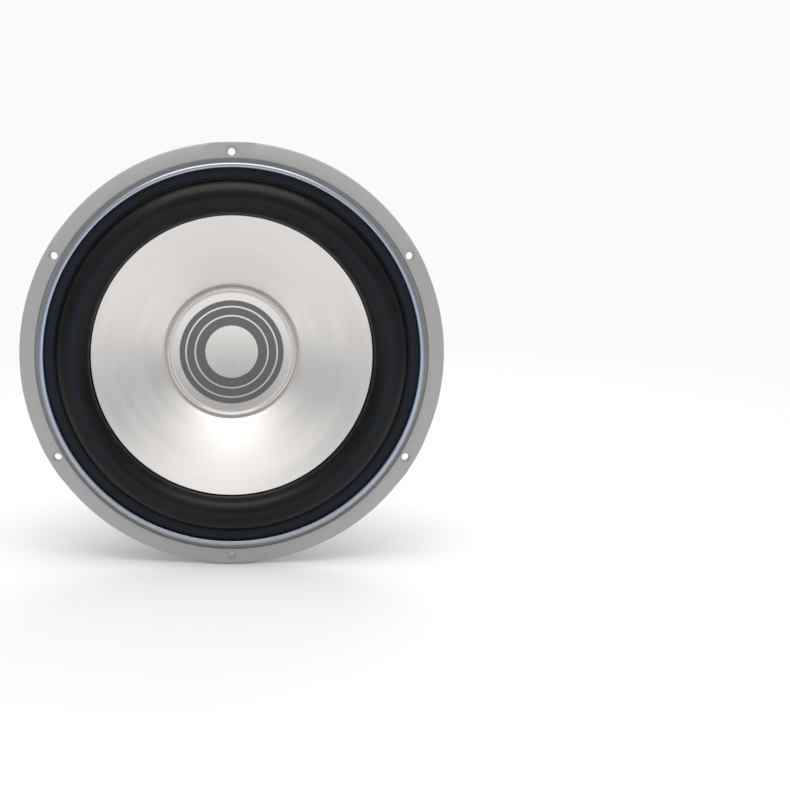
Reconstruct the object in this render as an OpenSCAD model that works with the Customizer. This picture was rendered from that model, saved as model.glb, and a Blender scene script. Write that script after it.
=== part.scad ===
// Twelve-inch car subwoofer driver.
// Every part is drawn around a vertical axis, with the magnet upwards and the rear face of the
// mounting flange at height 0. lay() then turns the axis to +Y, so the cone faces -Y.

/* [Flange] */
// Outer diameter of the mounting flange
flange_d = 312; // [306:1:320]
// Thickness of the mounting flange
flange_t = 5.6; // [5.2:0.2:7]
// Bolt circle diameter
bolt_pcd = 298; // [294:1:299]
// Diameter of the bolt holes
bolt_hole_d = 5.5; // [4.5:0.1:6.5]
// Width of each flat bolt pad
pad_w = 15; // [12:1:20]

/* [Basket] */
// Height of the rim wall, where the windows start
rim_h = 14; // [12:1:18]
// Height of the hub's rear face, which the top plate sits on
hub_h = 87; // [86:0.5:90]
// Radius of the basket at the rim
rim_r = 131.2; // [129:0.2:133]
// Radius of the hub
hub_r = 74; // [73:0.5:76]
// Wall thickness of the basket, square to its slope
basket_wall = 5; // [4:0.5:6]
// Half angle of a wide arched window at the rim
arch_half_angle = 27.5; // [22:0.5:28]
// Height of a wide arched window
arch_h = 49.5; // [40:0.5:52]
// Half width of a narrow window at the rim
slot_half_w = 18.5; // [14:0.5:19]
// Half width of a narrow window at its top
slot_top_half_w = 16; // [12:0.5:17]
// Height of the upper edge of a narrow window
slot_top_h = 61; // [56:1:62]

/* [Motor] */
// Outer diameter of the rubber magnet boot
boot_d = 147; // [146:0.5:150]
// Diameter of the ferrite rings
magnet_d = 140; // [136:1:140]
// Thickness of each ferrite ring
magnet_t = 17; // [15:0.5:18]
// Thickness of the top plate
top_plate_t = 7.5; // [6:0.5:9]
// Thickness of the back plate
back_plate_t = 9.2; // [8:0.2:12]
// Diameter of the pole
pole_d = 50.4; // [50:0.1:50.6]
// Diameter of the pole vent
vent_d = 19.2; // [16:0.2:24]

/* [Cone assembly] */
// Radius of the cone at its outer edge
cone_r = 103.5; // [102:0.5:104]
// Radius of the dust cap's foot
cap_r = 50; // [49.5:0.5:53]
// Slope of the cone, in degrees
cone_slope = 30.4; // [29:0.2:31]
// Wall thickness of the cone
cone_t = 1.2; // [0.8:0.1:1.4]
// Height of the surround's roll above its centre line
roll_r = 12.6; // [10:0.2:12.6]
// Wall thickness of the surround
surround_t = 1.6; // [1:0.2:1.8]

/* [Terminals] */
// Distance of the terminals from the driver's axis
post_x = 100.5; // [100:0.5:102]
// Distance between the two terminals
post_gap = 23; // [21:0.5:24]
// Diameter of a terminal barrel
post_d = 12; // [10:0.5:12]
// Length of a terminal barrel
post_h = 24.5; // [22:0.5:26]

/* [Hidden] */
$fn = 128;

bolt_count = 6;
first_bolt_angle = 30;
window_step = 90;
slot_angle = 45;
terminal_angle = 225;

flange_r = flange_d / 2;
ledge_z = -3.2;
ledge_r = 144.2;
trim_r = 139.2;
trim_z = -7.6;
trim_bead = 2.2;
rim_bore_r = 127.5;
cone_line_h = hub_h - 2.5;
basket_rise = (rim_r - hub_r) / (cone_line_h - rim_h);
basket_len = sqrt(pow(rim_r - hub_r, 2) + pow(cone_line_h - rim_h, 2));
wall_r = basket_wall * basket_len / (cone_line_h - rim_h);
spider_ledge_z = 71;
hub_bore_r = 61;
hub_floor_z = 81.6;
slope_r = 146.5;
slope_rise = 0.16;
pad_from_r = 140;
ramp_run = 6;
lug_x = 87.3;
hub_floor_r = 42;
vent_hole_z = [74, 80.9];
vent_hole_half_w = 13.7;

top_plate_z = hub_h + 0.05;
magnet_z = hub_h + top_plate_t + 0.05;
boot_z = magnet_z + 0.05;
back_plate_z = magnet_z + 2 * magnet_t + 0.1;
rear_z = back_plate_z + back_plate_t;
gap_r = 28;
screw_pcd_r = 51;
screw_count = 6;

cone_edge_z = -3;
neck_r = 26.5;
neck_z = 64;
former_r = 26.3;
former_t = 0.6;
former_z = [56, 99];
coil_z = [81.5, 99.5];
coil_r = 27.5;

strip_z = 58.5;
strip_t = 3;
strip_l = 42;
strip_w = 14;
post_z = strip_z + strip_t;
stud_r = 2.5;
stud_l = 12;
wire_hole_r = 1.7;
wire_hole_z = 9;
press_travel = 4;
bore_r = 4.2;
plunger_r = 3.9;
plunger_z = 7.5;
lug_t = 0.8;
lug_blade_x = 94.8;

// Routes of the tinsel leads, from solder lug to cone: distance from the axis, side, height
lead_route = [[96.3, 11.5, 48.5], [94.7, 11.5, 48.4], [92.8, 11.4, 47.6], [90.8, 11.2, 45.4],
              [88.8, 11.0, 42.4], [86.2, 10.8, 39.4], [83.0, 10.6, 37.0], [79.4, 10.4, 35.6],
              [75.6, 10.2, 35.2], [71.8, 10.1, 35.4], [68.2, 10.0, 35.6], [64.8, 10.0, 35.2],
              [62.0, 10.0, 33.8], [60.0, 10.0, 31.6], [58.8, 10.0, 29.2], [58.2, 10.0, 27.1]];
lead_d = 1.9;
eyelet_x = 57.2;
eyelet_y = 10;
eyelet_gap = 1.75;

// Height of the cone's front face at radius r, on its straight part
function cone_z(r) = cone_edge_z + (cone_r - r) * tan(cone_slope);
// Radius of the basket's outer slope at height z
function basket_r(z) = rim_r - (z - rim_h) * basket_rise;
// Points on an arc
function arc(cx, cz, r, a0, a1, n) =
    [for (i = [0:n]) let (a = a0 + (a1 - a0) * i / n) [cx + r * cos(a), cz + r * sin(a)]];
function flip(points) = [for (i = [len(points) - 1:-1:0]) points[i]];

module lay() {
    rotate([-90, 0, 0]) children();
}

module around(count, start) {
    for (i = [0:count - 1]) rotate([0, 0, start + i * 360 / count]) children();
}

// A prism that runs outwards from x0 to x1, with its outline in the side and height directions
module radial_cut(x0, x1, outline) {
    translate([x0, 0, 0]) rotate([90, 0, 90]) linear_extrude(x1 - x0) polygon(outline);
}

/* ---- basket ---- */

basket_section = concat(
    [[rim_bore_r, ledge_z], [ledge_r, ledge_z], [ledge_r, -flange_t + 0.5], [ledge_r + 0.5, -flange_t],
     [flange_r - 0.6, -flange_t], [flange_r, -flange_t + 0.6], [flange_r, -0.8], [flange_r - 0.8, 0]],
    arc(139.5, 4.5, 4.5, 270, 188, 6),
    [[basket_r(rim_h) + 1.3, rim_h - 2], [basket_r(rim_h - 0.8), rim_h - 0.8],
     [hub_r, cone_line_h], [hub_r, hub_h],
     [hub_floor_r, hub_h], [hub_floor_r, hub_floor_z], [hub_bore_r, hub_floor_z],
     [hub_bore_r, spider_ledge_z], [basket_r(spider_ledge_z) - wall_r, spider_ledge_z],
     [rim_bore_r, rim_h - (rim_bore_r - rim_r + wall_r) / basket_rise]]);

arch_outline = [for (i = [0:24]) let (a = 180 * i / 24, z = rim_h + arch_h * sin(a))
    [basket_r(z) * sin(arch_half_angle * cos(a)), z]];

slot_outline = concat(
    [[-slot_half_w, rim_h], [slot_half_w, rim_h]],
    arc(slot_top_half_w - 2, slot_top_h - 2, 2, 0, 90, 4),
    arc(2 - slot_top_half_w, slot_top_h - 2, 2, 90, 180, 4));

vent_hole_outline = [[-vent_hole_half_w - 0.8, vent_hole_z[0]], [vent_hole_half_w + 0.8, vent_hole_z[0]],
    [vent_hole_half_w, vent_hole_z[1]], [-vent_hole_half_w, vent_hole_z[1]]];

// The outward slope of the flange's front. It is left out around each bolt hole, so that a flat pad
// stays there, and ramps on both sides of the pad lead down to the slope
module flange_slope() {
    edge_r = flange_r - 0.9;
    edge_z = -flange_t + (edge_r - slope_r) * slope_rise;
    pad_half = pad_w / 2;
    difference() {
        rotate_extrude() polygon([[slope_r - 1, -flange_t - slope_rise], [edge_r, edge_z],
            [edge_r + 2, edge_z + 2], [edge_r + 2, -flange_t - 3], [slope_r - 1, -flange_t - 3]]);
        around(bolt_count, first_bolt_angle) translate([pad_from_r, 0, -flange_t]) rotate([90, 0, 90])
            linear_extrude(flange_r + 3 - pad_from_r)
                polygon([[-pad_half + 0.2 * ramp_run, -0.2], [pad_half - 0.2 * ramp_run, -0.2],
                         [pad_half + 4 * ramp_run, 4], [-pad_half - 4 * ramp_run, 4]]);
    }
}

// The lug that carries the terminal strip, joined to the bridge between two windows
module terminal_lug() {
    translate([lug_x, -7, strip_z - 3]) cube([post_x + 6 - lug_x, 14, 3]);
    translate([lug_x, -7, strip_z - 2]) cube([5, 14, slot_top_h - strip_z + 4]);
}

module basket() {
    color([0.58, 0.58, 0.59]) lay() difference() {
        union() {
            difference() {
                rotate_extrude() polygon(basket_section);
                around(4, 0) radial_cut(70, 150, arch_outline);
                around(4, slot_angle) radial_cut(70, 150, slot_outline);
                around(4, slot_angle) radial_cut(55, 95, vent_hole_outline);
            }
            rotate([0, 0, terminal_angle]) terminal_lug();
        }
        flange_slope();
        around(bolt_count, first_bolt_angle) translate([bolt_pcd / 2, 0, -flange_t - 1]) {
            cylinder(h = flange_t + 2, d = bolt_hole_d);
            cylinder(h = 2, d = bolt_hole_d + 2);
        }
        around(screw_count, 0) translate([screw_pcd_r, 0, hub_floor_z - 1]) cylinder(h = 10, r = 2.75);
        rotate([0, 0, terminal_angle]) translate([post_x, 0, strip_z - 5]) cylinder(h = 7, r = 1.95);
    }
}

module trim_ring() {
    color([0.74, 0.75, 0.78]) lay() rotate_extrude() polygon(concat(
        [[trim_r - trim_bead, roll_z], [surround_outer + 0.15, roll_z],
         [surround_outer + 0.15, ledge_z - 0.15], [trim_r + trim_bead, ledge_z - 0.15]],
        arc(trim_r, trim_z, trim_bead, 0, -180, 12)));
}

/* ---- motor ---- */

module top_plate() {
    color([0.72, 0.76, 0.82]) lay() difference() {
        translate([0, 0, top_plate_z]) rotate_extrude() polygon(
            [[gap_r, 0], [71.2, 0], [72, 0.8], [72, top_plate_t - 0.85], [71.2, top_plate_t - 0.05],
             [gap_r, top_plate_t - 0.05]]);
        around(screw_count, 0) translate([screw_pcd_r, 0, top_plate_z - 1])
            cylinder(h = top_plate_t - 0.5, r = 2.5);
    }
}

module top_plate_screws() {
    color([0.35, 0.35, 0.37]) lay() around(screw_count, 0) translate([screw_pcd_r, 0, 0])
        difference() {
            union() {
                translate([0, 0, hub_floor_z - 4.05]) cylinder(h = 4, r = 4.25);
                translate([0, 0, hub_floor_z - 0.5]) cylinder(h = 11.5, r = 2.42);
            }
            translate([0, 0, hub_floor_z - 5]) cylinder(h = 3, r = 2.3, $fn = 6);
        }
}

module magnet(z) {
    color([0.16, 0.16, 0.17]) lay() translate([0, 0, z]) rotate_extrude() polygon(
        [[45, 0], [magnet_d / 2 - 1, 0], [magnet_d / 2, 1], [magnet_d / 2, magnet_t - 1.02],
         [magnet_d / 2 - 1, magnet_t - 0.02], [45, magnet_t - 0.02]]);
}

module front_magnet() {
    magnet(magnet_z);
}

module rear_magnet() {
    magnet(magnet_z + magnet_t);
}

module magnet_boot() {
    boot_h = 2 * magnet_t;
    color([0.07, 0.07, 0.07]) lay() translate([0, 0, boot_z]) rotate_extrude() polygon(
        [[magnet_d / 2 + 0.1, 0], [boot_d / 2 - 0.8, 0], [boot_d / 2, 0.8], [boot_d / 2, boot_h - 1.2],
         [boot_d / 2 - 1.2, boot_h], [magnet_d / 2 + 0.1, boot_h]]);
}

// Pole and back plate in one piece, with the vent, its flared mouth and the ring groove
yoke_section = concat(
    [[vent_d / 2 + 1, hub_h - 2], [pole_d / 2 - 1, hub_h - 2], [pole_d / 2, hub_h - 1],
     [pole_d / 2, back_plate_z], [72.2, back_plate_z], [73, back_plate_z + 0.8],
     [73, rear_z - 6.6], [72.7, rear_z - 5.6], [70.7, rear_z - 0.5], [70.2, rear_z],
     [35, rear_z], [32.6, rear_z - 3], [28, rear_z - 3], [26, rear_z - 0.5]],
    arc(vent_d / 2 + 6.5, rear_z - 7, 6.5, 90, 180, 8),
    [[vent_d / 2, hub_h - 1]]);

module t_yoke() {
    color([0.82, 0.82, 0.84]) lay() rotate_extrude() polygon(yoke_section);
}

/* ---- cone assembly ---- */

cone_front = [[cone_r, cone_edge_z], [cap_r, cone_z(cap_r)], [45, 32.2], [38.5, 38.6], [33, 46.4],
              [29, 54.6], [neck_r, 60.5], [neck_r, neck_z]];
cone_back = [[cone_r + 0.6, cone_edge_z + cone_t * 0.9], [cap_r + 0.6, cone_z(cap_r) + cone_t * 0.9],
             [45.8, 33.2], [39.5, 39.4], [34.1, 47], [30.2, 55], [neck_r + 1.2, 61], [neck_r + 1.2, neck_z]];

module cone() {
    color([0.86, 0.86, 0.85]) lay() rotate_extrude() polygon(concat(cone_front, flip(cone_back)));
}

cap_wall = 0.8;
cap_rim_z = cone_z(cap_r) - 2.2;
cap_bead_r = 47.7;
cap_dish_r = 46.4;
cap_dish = 4.6;
function dish(r) = cap_rim_z - 0.2 + cap_dish * (1 - pow(r / cap_dish_r, 2));
cap_front = concat([for (i = [0:12]) let (r = cap_dish_r * i / 12) [r, dish(r)]],
    arc(cap_bead_r, cap_rim_z, 1.1, 190, 350, 8), [[cap_r, cone_z(cap_r) - 0.1]]);
cap_back = concat([[cap_r - 0.9, cone_z(cap_r) + 0.4], [cap_bead_r + 0.3, cap_rim_z + 1.4]],
    [for (i = [12:-1:0]) let (r = cap_dish_r * i / 12) [r, dish(r) + cap_wall]]);

module dust_cap() {
    color([0.84, 0.84, 0.84]) lay() rotate_extrude() polygon(concat(cap_front, cap_back));
}

module coil_former() {
    color([0.75, 0.6, 0.35]) lay() translate([0, 0, former_z[0]]) difference() {
        cylinder(h = former_z[1] - former_z[0], r = former_r);
        translate([0, 0, -1]) cylinder(h = former_z[1] - former_z[0] + 2, r = former_r - former_t);
    }
}

module voice_coil() {
    color([0.72, 0.4, 0.22]) lay() translate([0, 0, coil_z[0]]) difference() {
        cylinder(h = coil_z[1] - coil_z[0] - 0.6, r = coil_r);
        translate([0, 0, -1]) cylinder(h = coil_z[1] - coil_z[0] + 2, r = former_r + 0.05);
    }
}

// Corrugated disc that centres the coil
spider_t = 1;
spider_waves = 4;
spider_wave_r = [31, 59.5];
spider_flat_z = spider_ledge_z - 1.2;
function spider_z(r) = spider_flat_z - 2.4 * sin(360 * spider_waves
    * (r - spider_wave_r[0]) / (spider_wave_r[1] - spider_wave_r[0]));
spider_line = [for (i = [0:32]) let (r = spider_wave_r[0]
    + (spider_wave_r[1] - spider_wave_r[0]) * i / 32) [r, spider_z(r)]];

module spider() {
    inner = former_r + 0.35;
    outer = basket_r(spider_ledge_z) - wall_r - 1;
    below = concat([[inner, spider_flat_z - 3], [inner + 1, spider_flat_z - 3], [inner + 1.6, spider_flat_z]],
        spider_line, [[outer, spider_flat_z]]);
    above = [for (p = flip(concat([[inner, spider_flat_z]], spider_line, [[outer, spider_flat_z]])))
        [p[0], p[1] + spider_t]];
    color([0.78, 0.62, 0.38]) lay() rotate_extrude() polygon(concat(below, above));
}

// Rubber half roll with a glued lip on each side
roll_c = (cone_r + 0.9 + 129.6) / 2;
roll_z = ledge_z - 1.7;
surround_outer = 139.8;

module surround() {
    outside = arc(roll_c, roll_z, roll_r, 180, 360, 24);
    inside = arc(roll_c, roll_z, roll_r - surround_t, 180, 360, 24);
    lip = roll_z + surround_t;
    inner_lip = [[99, cone_z(99) + 2 + surround_t], [99, cone_z(99) + 2],
                 [roll_c - roll_r, cone_edge_z + 2.2]];
    color([0.08, 0.08, 0.09]) lay() rotate_extrude() polygon(concat(
        inner_lip, outside, [[surround_outer, roll_z], [surround_outer, lip],
        [roll_c + roll_r - surround_t, lip]], flip(inside),
        [[roll_c - roll_r + surround_t, cone_edge_z + 3.4]]));
}

module lead_eyelets() {
    color([0.75, 0.62, 0.3]) lay() rotate([0, 0, terminal_angle]) for (side = [-1, 1])
        translate([eyelet_x, side * eyelet_y, cone_z(sqrt(pow(eyelet_x, 2) + pow(eyelet_y, 2))) + eyelet_gap])
            rotate([0, cone_slope, 0]) cylinder(h = 1.6, r = 2.2);
}

/* ---- terminals and leads ---- */

function sub(a, b) = [a[0] - b[0], a[1] - b[1], a[2] - b[2]];
function unit(v) = v / norm(v);
function tangent(path, i) = unit(sub(path[min(i + 1, len(path) - 1)], path[max(i - 1, 0)]));

// A tube along a path, with rings of eight points and closed ends
module tube(path, d, guide) {
    sides = 8;
    n = len(path);
    rings = [for (i = [0:n - 1]) let (t = tangent(path, i), u = unit(cross(guide, t)), v = cross(t, u))
        for (k = [0:sides - 1]) path[i] + d / 2 * (cos(360 * k / sides) * u + sin(360 * k / sides) * v)];
    walls = [for (i = [0:n - 2]) for (k = [0:sides - 1])
        [i * sides + k, (i + 1) * sides + k, (i + 1) * sides + (k + 1) % sides, i * sides + (k + 1) % sides]];
    first = [for (k = [0:sides - 1]) k];
    last = [for (k = [sides - 1:-1:0]) (n - 1) * sides + k];
    polyhedron(points = rings, faces = concat(walls, [first, last]), convexity = 6);
}

module tinsel_lead(side) {
    route = [for (p = lead_route) [p[0], side * p[1], p[2]]];
    color([0.35, 0.28, 0.24]) lay() rotate([0, 0, terminal_angle]) tube(route, lead_d, [0, 1, 0]);
}

module tinsel_lead_red() {
    tinsel_lead(1);
}

module tinsel_lead_black() {
    tinsel_lead(-1);
}

module at_posts() {
    rotate([0, 0, terminal_angle]) for (side = [-1, 1]) translate([post_x, side * post_gap / 2, 0]) children();
}

module terminal_strip() {
    color([0.09, 0.09, 0.1]) lay() difference() {
        rotate([0, 0, terminal_angle]) translate([post_x, 0, strip_z + 0.05]) linear_extrude(strip_t - 0.1) {
            square([strip_w, strip_l - strip_w], center = true);
            for (side = [-1, 1]) translate([0, side * (strip_l - strip_w) / 2]) circle(d = strip_w);
        }
        at_posts() translate([0, 0, strip_z - 1]) cylinder(h = 5, r = stud_r + 0.1);
        rotate([0, 0, terminal_angle]) translate([post_x, 0, strip_z - 1]) cylinder(h = 5, r = 2.1);
    }
}

module terminal_screw() {
    color([0.75, 0.75, 0.76]) lay() rotate([0, 0, terminal_angle]) translate([post_x, 0, 0]) difference() {
        union() {
            translate([0, 0, strip_z - 4]) cylinder(h = 7.5, r = 1.9);
            translate([0, 0, post_z]) cylinder(h = 1.2, r = 3.4);
            translate([0, 0, post_z + 1.2]) cylinder(h = 0.8, r1 = 3.4, r2 = 2.4);
        }
        translate([-0.4, -4, post_z + 1.1]) cube([0.8, 8, 2]);
    }
}

module terminal_nuts() {
    color([0.78, 0.78, 0.78]) lay() at_posts() difference() {
        translate([0, 0, strip_z - lug_t - 3.55]) cylinder(h = 3.4, r = 4.62, $fn = 6);
        translate([0, 0, strip_z - 8]) cylinder(h = 8, r = stud_r + 0.03);
    }
}

// A ring under each nut, with a blade bent away from the strip and pierced for the lead
module solder_lugs() {
    ring_z = strip_z - lug_t - 0.05;
    color([0.8, 0.79, 0.76]) lay() at_posts() difference() {
        union() {
            translate([0, 0, ring_z]) cylinder(h = lug_t, r = 4.4);
            translate([lug_blade_x - post_x, -2.4, ring_z]) cube([post_x - lug_blade_x, 4.8, lug_t]);
            translate([lug_blade_x - post_x, -2.4, ring_z - 9]) cube([lug_t, 4.8, 9.2]);
            translate([lug_blade_x - post_x, 0, ring_z - 9]) rotate([0, 90, 0]) cylinder(h = lug_t, r = 2.4);
        }
        translate([0, 0, ring_z - 1]) cylinder(h = 3, r = stud_r + 0.05);
        translate([lug_blade_x - post_x - 1, 0, ring_z - 9.2]) rotate([0, 90, 0]) cylinder(h = 3, r = 1.15);
    }
}

post_section = [[0, 0.05], [post_d / 2 + 0.2, 0.05], [post_d / 2 + 0.2, 1.5], [post_d / 2 - 0.5, 1.9],
    [post_d / 2 - 0.5, 2.6], [post_d / 2, 3], [post_d / 2, post_h - 3.2], [post_d / 2 - 0.3, post_h - 2.9],
    [post_d / 2 - 0.3, post_h - 2.4], [post_d / 2, post_h - 2.1], [post_d / 2, post_h - 0.9],
    [post_d / 2 - 0.9, post_h], [bore_r, post_h], [bore_r, 1.6], [0, 1.6]];

module post(side) {
    color([0.83, 0.81, 0.78]) lay() rotate([0, 0, terminal_angle])
        translate([post_x, side * post_gap / 2, post_z]) difference() {
            union() {
                rotate_extrude() polygon(post_section);
                translate([0, 0, -stud_l]) cylinder(h = stud_l + 0.5, r = stud_r);
            }
            translate([-10, 0, wire_hole_z]) rotate([0, 90, 0]) cylinder(h = 20, r = wire_hole_r);
        }
}

module post_red() {
    post(1);
}

module post_black() {
    post(-1);
}

module plunger(side, tint) {
    color(tint) lay() rotate([0, 0, terminal_angle])
        translate([post_x, side * post_gap / 2, post_z]) difference() {
            union() {
                translate([0, 0, plunger_z]) cylinder(h = post_h - plunger_z + 0.6, r = plunger_r);
                translate([0, 0, post_h + 0.6]) cylinder(h = 0.9, r1 = plunger_r, r2 = plunger_r - 0.9);
            }
            translate([-10, 0, wire_hole_z + press_travel]) rotate([0, 90, 0])
                cylinder(h = 20, r = wire_hole_r);
        }
}

module plunger_red() {
    plunger(1, [0.75, 0.08, 0.1]);
}

module plunger_black() {
    plunger(-1, [0.08, 0.08, 0.08]);
}

module plunger_spring(side) {
    turns = 3;
    steps = 12 * turns;
    spring_r = 3.1;
    coil = [for (i = [0:steps]) [spring_r * cos(360 * turns * i / steps),
        spring_r * sin(360 * turns * i / steps), 1.95 + (plunger_z - 2.3) * i / steps]];
    color([0.7, 0.7, 0.72]) lay() rotate([0, 0, terminal_angle])
        translate([post_x, side * post_gap / 2, post_z]) tube(coil, 0.5, [0, 0, 1]);
}

module plunger_spring_red() {
    plunger_spring(1);
}

module plunger_spring_black() {
    plunger_spring(-1);
}

basket();
trim_ring();
top_plate();
top_plate_screws();
front_magnet();
rear_magnet();
magnet_boot();
t_yoke();
cone();
dust_cap();
coil_former();
voice_coil();
spider();
surround();
lead_eyelets();
tinsel_lead_red();
tinsel_lead_black();
terminal_strip();
terminal_screw();
terminal_nuts();
solder_lugs();
post_red();
post_black();
plunger_red();
plunger_black();
plunger_spring_red();
plunger_spring_black();
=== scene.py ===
"""Detailed visual model of a twelve-inch car subwoofer driver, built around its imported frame."""
from math import cos, hypot, pi, radians, sin, sqrt, tan

import bmesh
import bpy
from bpy.props import FloatProperty, FloatVectorProperty, IntProperty, PointerProperty
from mathutils import Matrix, Vector, noise
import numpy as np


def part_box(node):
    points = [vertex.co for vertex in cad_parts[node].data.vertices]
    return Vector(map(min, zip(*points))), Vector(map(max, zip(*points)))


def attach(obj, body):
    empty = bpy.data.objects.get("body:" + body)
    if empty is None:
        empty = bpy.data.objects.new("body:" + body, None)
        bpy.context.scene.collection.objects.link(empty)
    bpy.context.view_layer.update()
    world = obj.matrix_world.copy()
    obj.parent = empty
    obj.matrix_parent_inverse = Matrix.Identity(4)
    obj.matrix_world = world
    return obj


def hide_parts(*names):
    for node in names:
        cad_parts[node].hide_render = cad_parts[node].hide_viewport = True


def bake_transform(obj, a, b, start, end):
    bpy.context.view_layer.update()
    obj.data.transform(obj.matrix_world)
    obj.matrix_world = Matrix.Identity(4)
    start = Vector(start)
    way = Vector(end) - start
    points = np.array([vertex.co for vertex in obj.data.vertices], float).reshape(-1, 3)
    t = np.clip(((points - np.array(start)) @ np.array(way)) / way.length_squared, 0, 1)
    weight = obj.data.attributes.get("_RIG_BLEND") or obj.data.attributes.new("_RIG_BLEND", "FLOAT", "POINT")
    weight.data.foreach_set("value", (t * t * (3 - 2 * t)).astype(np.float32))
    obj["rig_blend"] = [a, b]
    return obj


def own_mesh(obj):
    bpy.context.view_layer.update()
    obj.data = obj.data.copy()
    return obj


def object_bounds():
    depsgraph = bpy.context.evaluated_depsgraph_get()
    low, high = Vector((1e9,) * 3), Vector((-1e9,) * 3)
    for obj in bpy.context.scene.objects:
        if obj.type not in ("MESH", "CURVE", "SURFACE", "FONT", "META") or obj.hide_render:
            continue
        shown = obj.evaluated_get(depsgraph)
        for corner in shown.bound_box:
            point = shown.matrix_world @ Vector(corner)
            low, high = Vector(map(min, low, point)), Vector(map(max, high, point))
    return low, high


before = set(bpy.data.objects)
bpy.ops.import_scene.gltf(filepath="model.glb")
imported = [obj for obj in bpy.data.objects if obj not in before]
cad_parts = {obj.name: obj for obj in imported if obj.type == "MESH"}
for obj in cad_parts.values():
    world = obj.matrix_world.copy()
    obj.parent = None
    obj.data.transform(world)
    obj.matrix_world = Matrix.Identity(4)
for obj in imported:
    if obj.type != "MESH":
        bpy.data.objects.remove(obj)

bl_info = {
    "name": "Car Subwoofer Driver",
    "version": (1, 0, 0),
    "blender": (4, 5, 0),
    "location": "View3D > Sidebar > Driver",
    "description": "Builds the detailed pieces of a car subwoofer driver around its frame",
    "category": "Add Mesh",
}

MM = 0.001
WELD = 0.000002
AXIS = Vector((0, 1, 0))
CAD_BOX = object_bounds()


# ---- places, all taken from the frame and given in millimetres ----

def reach(node):
    """Outer radius, front and rear of a node that is round about the driver's axis."""
    low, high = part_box(node)
    return high.x / MM, low.y / MM, high.y / MM


TRIM_R, TRIM_FRONT, TRIM_REAR = reach("trim_ring")
TRIM_BORE = 137.0
CONE_R, CONE_EDGE, CONE_NECK = reach("cone")
CAP_R, CAP_FRONT = reach("dust_cap")[:2]
LIP_R = reach("surround")[0]
SPIDER_R = reach("spider")[0]
FORMER_R, FORMER_FRONT, FORMER_REAR = reach("coil_former")
COIL_R, COIL_FRONT, COIL_REAR = reach("voice_coil")
BOOT_R, BOOT_FRONT, BOOT_REAR = reach("magnet_boot")
YOKE_R, POLE_TIP, YOKE_REAR = reach("t_yoke")
MAGNET_R = reach("front_magnet")[0]

CONE_SLOPE = 30.4
CONE_FACE_R = CONE_R - 0.6
CONE_WALL = 1.1
ROLL_R = 12.6
RUBBER_WALL = 1.6
ROLL_CENTRE = 117.0
LIP_FRONT = -4.9
BACK_PLATE_FRONT = BOOT_REAR + 0.05


def cone_height(r):
    """Height of the cone's front face at radius r, on its straight part."""
    return CONE_EDGE + (CONE_FACE_R - r) * tan(radians(CONE_SLOPE))


def at_terminals(out, side, y):
    """A point beside the terminals, from its distance to the axis, its side and its height, in mm."""
    half = sqrt(0.5) * MM
    return Vector(((side - out) * half, y * MM, (side + out) * half))


# ---- settings a user may change ----

class DriverFinish(bpy.types.PropertyGroup):
    """Colours of the driver's finishes"""
    paint: FloatVectorProperty(name="Basket paint", description="Powder coat on the cast basket",
                               subtype="COLOR", size=3, min=0, max=1, default=(0.41, 0.41, 0.41))
    rubber: FloatVectorProperty(name="Rubber", description="Surround and magnet boot",
                                subtype="COLOR", size=3, min=0, max=1, default=(0.0035, 0.0036, 0.0038))
    cone: FloatVectorProperty(name="Cone", description="Spun aluminium of the cone",
                              subtype="COLOR", size=3, min=0, max=1, default=(0.785, 0.765, 0.74))
    print_ink: FloatVectorProperty(name="Ring print", description="Ink of the rings on the dust cap",
                                   subtype="COLOR", size=3, min=0, max=1, default=(0.085, 0.087, 0.092))
    cloth: FloatVectorProperty(name="Spider cloth", description="Resin-stiffened cloth of the spider",
                               subtype="COLOR", size=3, min=0, max=1, default=(0.42, 0.235, 0.105))


class DriverShape(bpy.types.PropertyGroup):
    """Fineness of the driver's modelled detail"""
    spin_steps: IntProperty(name="Spin steps", description="Steps round a large spun piece",
                            min=48, max=360, default=224)
    edge: FloatProperty(name="Cast edge", description="Rounding of the cast basket's edges",
                        subtype="DISTANCE", unit="LENGTH", min=0.0001, max=0.002, default=0.0006)
    spider_waves: IntProperty(name="Spider waves", description="Corrugations of the spider",
                              min=2, max=6, default=4)
    strands: IntProperty(name="Lead strands", description="Strands twisted into each tinsel lead",
                         min=3, max=9, default=7)
    windings: IntProperty(name="Coil windings", description="Turns seen along the voice coil",
                          min=20, max=80, default=54)


class DriverStage(bpy.types.PropertyGroup):
    """Floor, lights and camera"""
    floor: FloatVectorProperty(name="Floor", description="Colour of the floor", subtype="COLOR",
                               size=3, min=0, max=1, default=(0.9, 0.9, 0.9))
    key_power: FloatProperty(name="Key power", description="Power of the softbox overhead", min=0,
                             max=200, subtype="POWER", default=11.0)
    rear_power: FloatProperty(name="Rear power", description="Power of the softbox behind", min=0,
                              max=200, subtype="POWER", default=7.0)
    low_power: FloatProperty(name="Low power", description="Power of the bluish low front light",
                             min=0, max=200, subtype="POWER", default=0.8)
    distance: FloatProperty(name="Distance", description="Camera to the driver's origin",
                            subtype="DISTANCE", unit="LENGTH", min=0.3, max=5, default=0.836)
    elevation: FloatProperty(name="Elevation", description="Camera above the driver's axis",
                             subtype="ANGLE", min=-1.5, max=1.5, default=radians(7.4))
    lens: FloatProperty(name="Lens", description="Focal length in millimetres", min=20, max=200,
                        default=51.63)


# ---- outlines ----

def arc(x, y, r, start, end, steps):
    """Points on an arc, from its start angle to its end angle in degrees."""
    angles = [radians(start + (end - start) * i / steps) for i in range(steps + 1)]
    return [(x + r * cos(a), y + r * sin(a)) for a in angles]


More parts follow.
